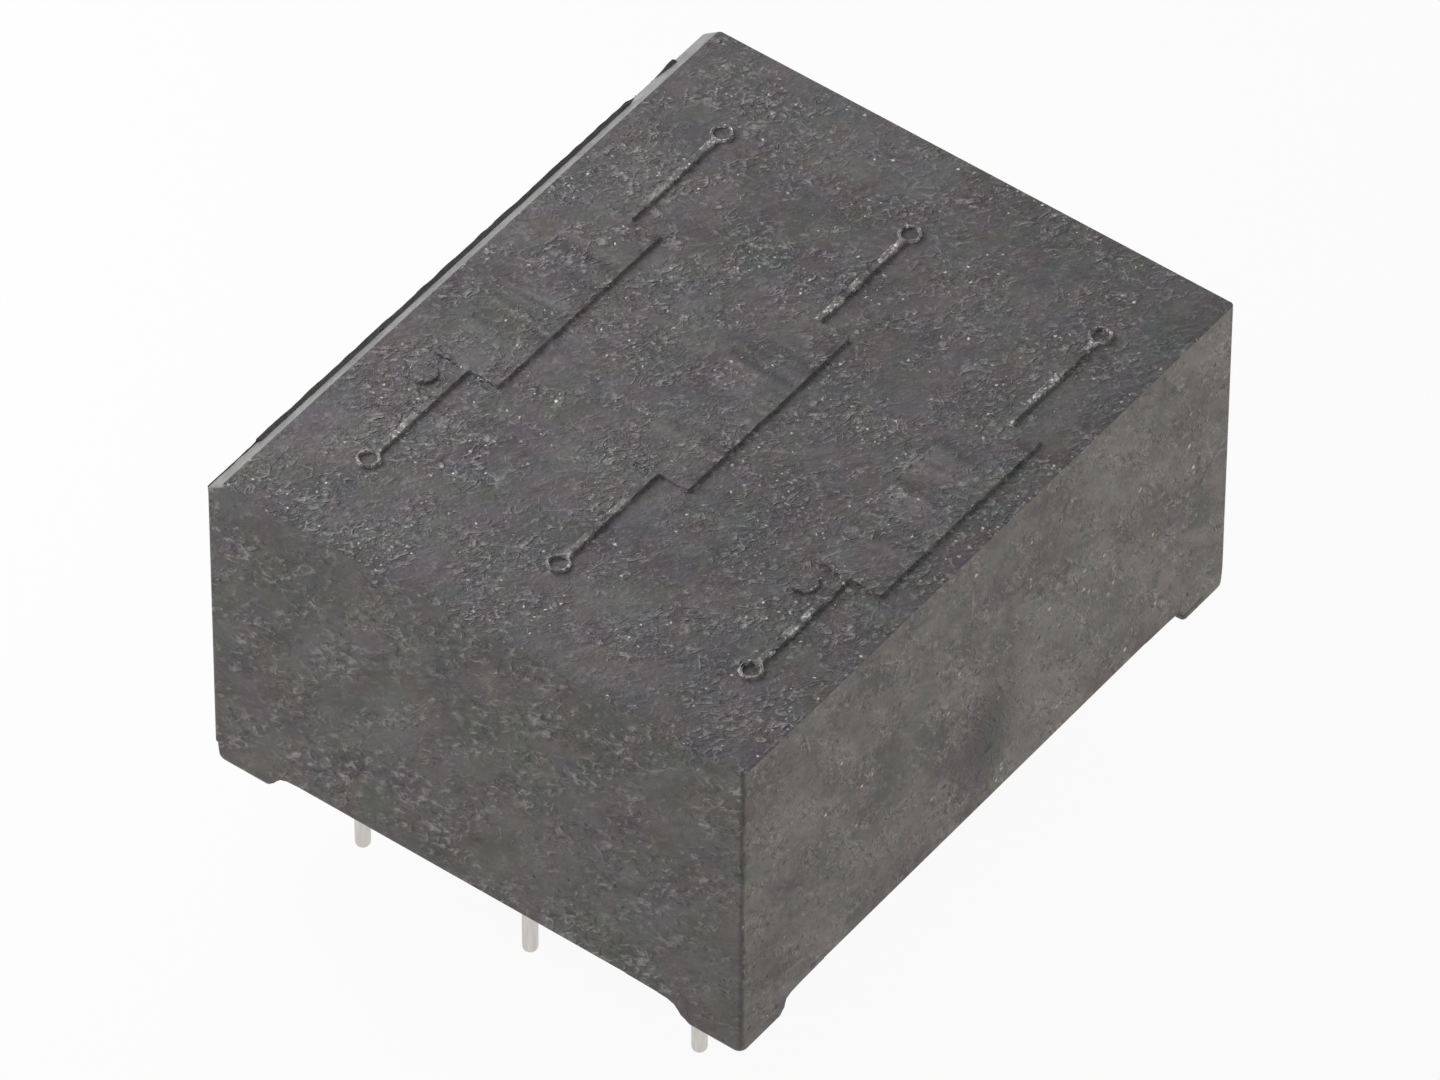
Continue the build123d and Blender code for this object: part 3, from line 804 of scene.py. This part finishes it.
def buildPin(index, x, y, length):
    p = pinShape
    bm = bmesh.new()
    profile = []
    for k in range(p["endSteps"] + 1):
        turn = math.radians(90 * k / p["endSteps"])
        profile.append((
            p["endFlat"] + (p["radius"] - p["endFlat"]) * math.sin(turn),
            -length + p["endRound"] * (1 - math.cos(turn)),
        ))
    profile += [(p["radius"], z) for z in (-length + p["bands"][0], p["bands"][1], p["resinFace"])]
    rings = [[(cx, cy, z) for cx, cy in circlePoints(x, y, radius, p["segments"])] for radius, z in profile]
    addRings(bm, rings, capFirst=True, capLast=True)
    half = p["squareHalf"]
    square = [(x - half, y - half), (x + half, y - half), (x + half, y + half), (x - half, y + half)]
    shank = [[(cx, cy, z) for cx, cy in square] for z in (p["resinFace"], p["top"])]
    addRings(bm, shank, capFirst=True, capLast=True)
    finishPiece(f"tinnedPin{index}", bm, [tinned], [f"pin_{index}"])


index = 1
for side in (-1, 1):
    for place, length in zip((1, 0, -1), pinShape["lengths"]):
        buildPin(index, side * pinShape["rowSpacing"] / 2, place * pinShape["pitch"], length)
        index += 1
print("pins built")


# Skin of the resin's face: climbs the walls and the pins where it wetted them

skinShape = {
    "clear": 0.004, "back": 0.97, "flat": 0.905, "atWall": 0.822, "fade": 0.22,
    "insets": (0.02, 0.05, 0.1, 0.16, 0.24, 0.34, 0.46, 0.6), "lastInset": 0.8, "leastRadius": 0.1,
    "pinFoot": 0.5, "pinClimb": 0.16, "pinClear": 0.003, "pinLift": 0.004, "pinSteps": 8, "segments": 40,
}


def buildSkin():
    s, c, p = skinShape, caseShape, pinShape
    bm = bmesh.new()

    def ring(inset, z):
        edge = c["wall"] + s["clear"] + inset
        corner = max(c["mouthRadius"] - inset, s["leastRadius"])
        halfX, halfY = c["length"] / 2 - edge, c["width"] / 2 - edge
        return roundedOutline(-halfX, halfX, -halfY, halfY, corner, z)

    first = s["insets"][0]
    rings = [ring(first, s["back"])]
    for inset in s["insets"]:
        climb = (s["flat"] - s["atWall"]) * math.exp(-(inset - first) / s["fade"])
        rings.append(ring(inset, s["flat"] - climb))
    rings.append(ring(s["lastInset"], s["flat"]))
    addRings(bm, rings, capFirst=True, capLast=True)
    atPin = p["radius"] + s["pinClear"]
    for side in (-1, 1):
        for place in (-1, 0, 1):
            x, y = side * p["rowSpacing"] / 2, place * p["pitch"]
            levels = [(s["pinFoot"], s["back"])]
            for k in range(s["pinSteps"] + 1):
                radius = s["pinFoot"] + (atPin - s["pinFoot"]) * k / s["pinSteps"]
                levels.append((radius, s["flat"] + s["pinLift"] - s["pinClimb"] * (k / s["pinSteps"]) ** 3))
            levels.append((atPin, s["back"]))
            cone = [
                [(cx, cy, z) for cx, cy in circlePoints(x, y, radius, s["segments"])] for radius, z in levels
            ]
            cone.append(cone[0])
            addRings(bm, cone)
    finishPiece("resinSkin", bm, [resin], [])


buildSkin()

finishOf = {
    "potting_resin": resin, "pin_carrier": buried["carrierMoulding"], "ring_core": buried["sinteredFerrite"],
    "lead_sleeve": buried["wovenSleeving"],
}
for name in nodes:
    if name.startswith("winding"):
        finishOf[name] = buried["enamelledCopper"]
    if name.startswith("solder"):
        finishOf[name] = buried["setSolder"]
for name, material in finishOf.items():
    mesh = nodes[name].data
    mesh.materials.clear()
    mesh.materials.append(material)
print("resin and buried pieces finished")


# Camera at the photograph's angle, from far off

view = {
    "place": (-193.7, -145.84, 255.9), "target": (-0.159, 0.01, 4.684), "roll": 0.297,
    "lens": 366.75, "sensor": 36.0, "clip": (0.01, 5.0),
}
lensData = bpy.data.cameras.new("camera")
lensData.lens = view["lens"]
lensData.sensor_width = view["sensor"]
lensData.clip_start, lensData.clip_end = view["clip"]
camera = bpy.data.objects.new("camera", lensData)
bpy.context.scene.collection.objects.link(camera)
sight = Vector(view["target"]) - Vector(view["place"])
turned = sight.to_track_quat("-Z", "Y").to_matrix().to_4x4()
rolled = Matrix.Rotation(math.radians(view["roll"]), 4, "Z")
camera.matrix_world = Matrix.Translation(Vector(view["place"]) * mm) @ turned @ rolled
bpy.context.scene.camera = camera


# Floor, world and lamps

studio = {
    "floorZ": -3.42, "floorSize": 900, "floorColour": "#f4f4f4", "floorWhite": 0.94,
    "worldColour": "#ffffff", "worldStrength": 0.28, "aimZ": 5,
}
# Millimetres and watts; the two low strips light the sides and leave the top to the key
lamps = {
    "key": {"place": (-11, 49, 49), "wide": 46, "high": 46, "power": 0.0322},
    "rightStrip": {"place": (95, -95, -1), "wide": 110, "high": 4, "power": 0.066},
    "leftStrip": {"place": (-120, 50, -1), "wide": 90, "high": 4, "power": 0.0242},
}


def buildStudio():
    s = studio
    bm = bmesh.new()
    half = s["floorSize"] / 2
    corners = [(-half, -half), (half, -half), (half, half), (-half, half)]
    bm.faces.new([bm.verts.new(Vector((x, y, s["floorZ"])) * mm) for x, y in corners])
    mesh = bpy.data.meshes.new("floor")
    bm.to_mesh(mesh)
    bm.free()
    floor = bpy.data.objects.new("floor", mesh)
    bpy.context.scene.collection.objects.link(floor)
    material = bpy.data.materials.new("paleFloor")
    material.use_nodes = True
    tree = material.node_tree
    tree.nodes.clear()
    paint = addNode(tree, "BsdfDiffuse", {}, {"Color": linearColour(s["floorColour"])})
    glow = addNode(tree, "Emission", {}, {"Color": linearColour(s["worldColour"]), "Strength": 1.0})
    rays = addNode(tree, "LightPath", {}, (), None)
    seen = rays.outputs["Is Camera Ray"]
    for other in ("Is Glossy Ray", "Is Transmission Ray"):
        seen = addNode(tree, "Math", {"operation": "MAXIMUM"}, (seen, rays.outputs[other]))
    seen = addNode(tree, "Math", {"operation": "MULTIPLY"}, (seen, s["floorWhite"]))
    mixed = addNode(tree, "MixShader", {}, (seen, paint, glow))
    addNode(tree, "OutputMaterial", {}, {"Surface": mixed}, None)
    mesh.materials.append(material)

    world = bpy.data.worlds.new("studioWorld")
    bpy.context.scene.world = world
    world.use_nodes = True
    tree = world.node_tree
    tree.nodes.clear()
    rays = addNode(tree, "LightPath", {}, (), None)
    seen = rays.outputs["Is Camera Ray"]
    for other in ("Is Glossy Ray", "Is Transmission Ray"):
        seen = addNode(tree, "Math", {"operation": "MAXIMUM"}, (seen, rays.outputs[other]))
    strength = addNode(tree, "MapRange", {}, {"Value": seen, "To Min": s["worldStrength"], "To Max": 1.0})
    light = addNode(tree, "Background", {}, {"Color": linearColour(s["worldColour"]), "Strength": strength})
    addNode(tree, "OutputWorld", {}, {"Surface": light}, None)

    for name, lamp in lamps.items():
        data = bpy.data.lights.new(name, "AREA")
        data.shape = "RECTANGLE"
        data.size = lamp["wide"] * mm
        data.size_y = lamp["high"] * mm
        data.energy = lamp["power"]
        holder = bpy.data.objects.new(name, data)
        bpy.context.scene.collection.objects.link(holder)
        place = Vector(lamp["place"]) * mm
        holder.location = place
        holder.rotation_euler = (Vector((0, 0, s["aimZ"] * mm)) - place).to_track_quat("-Z", "Y").to_euler()
        holder.visible_camera = False


buildStudio()
bpy.context.scene.view_settings.view_transform = "Standard"
print("studio built")
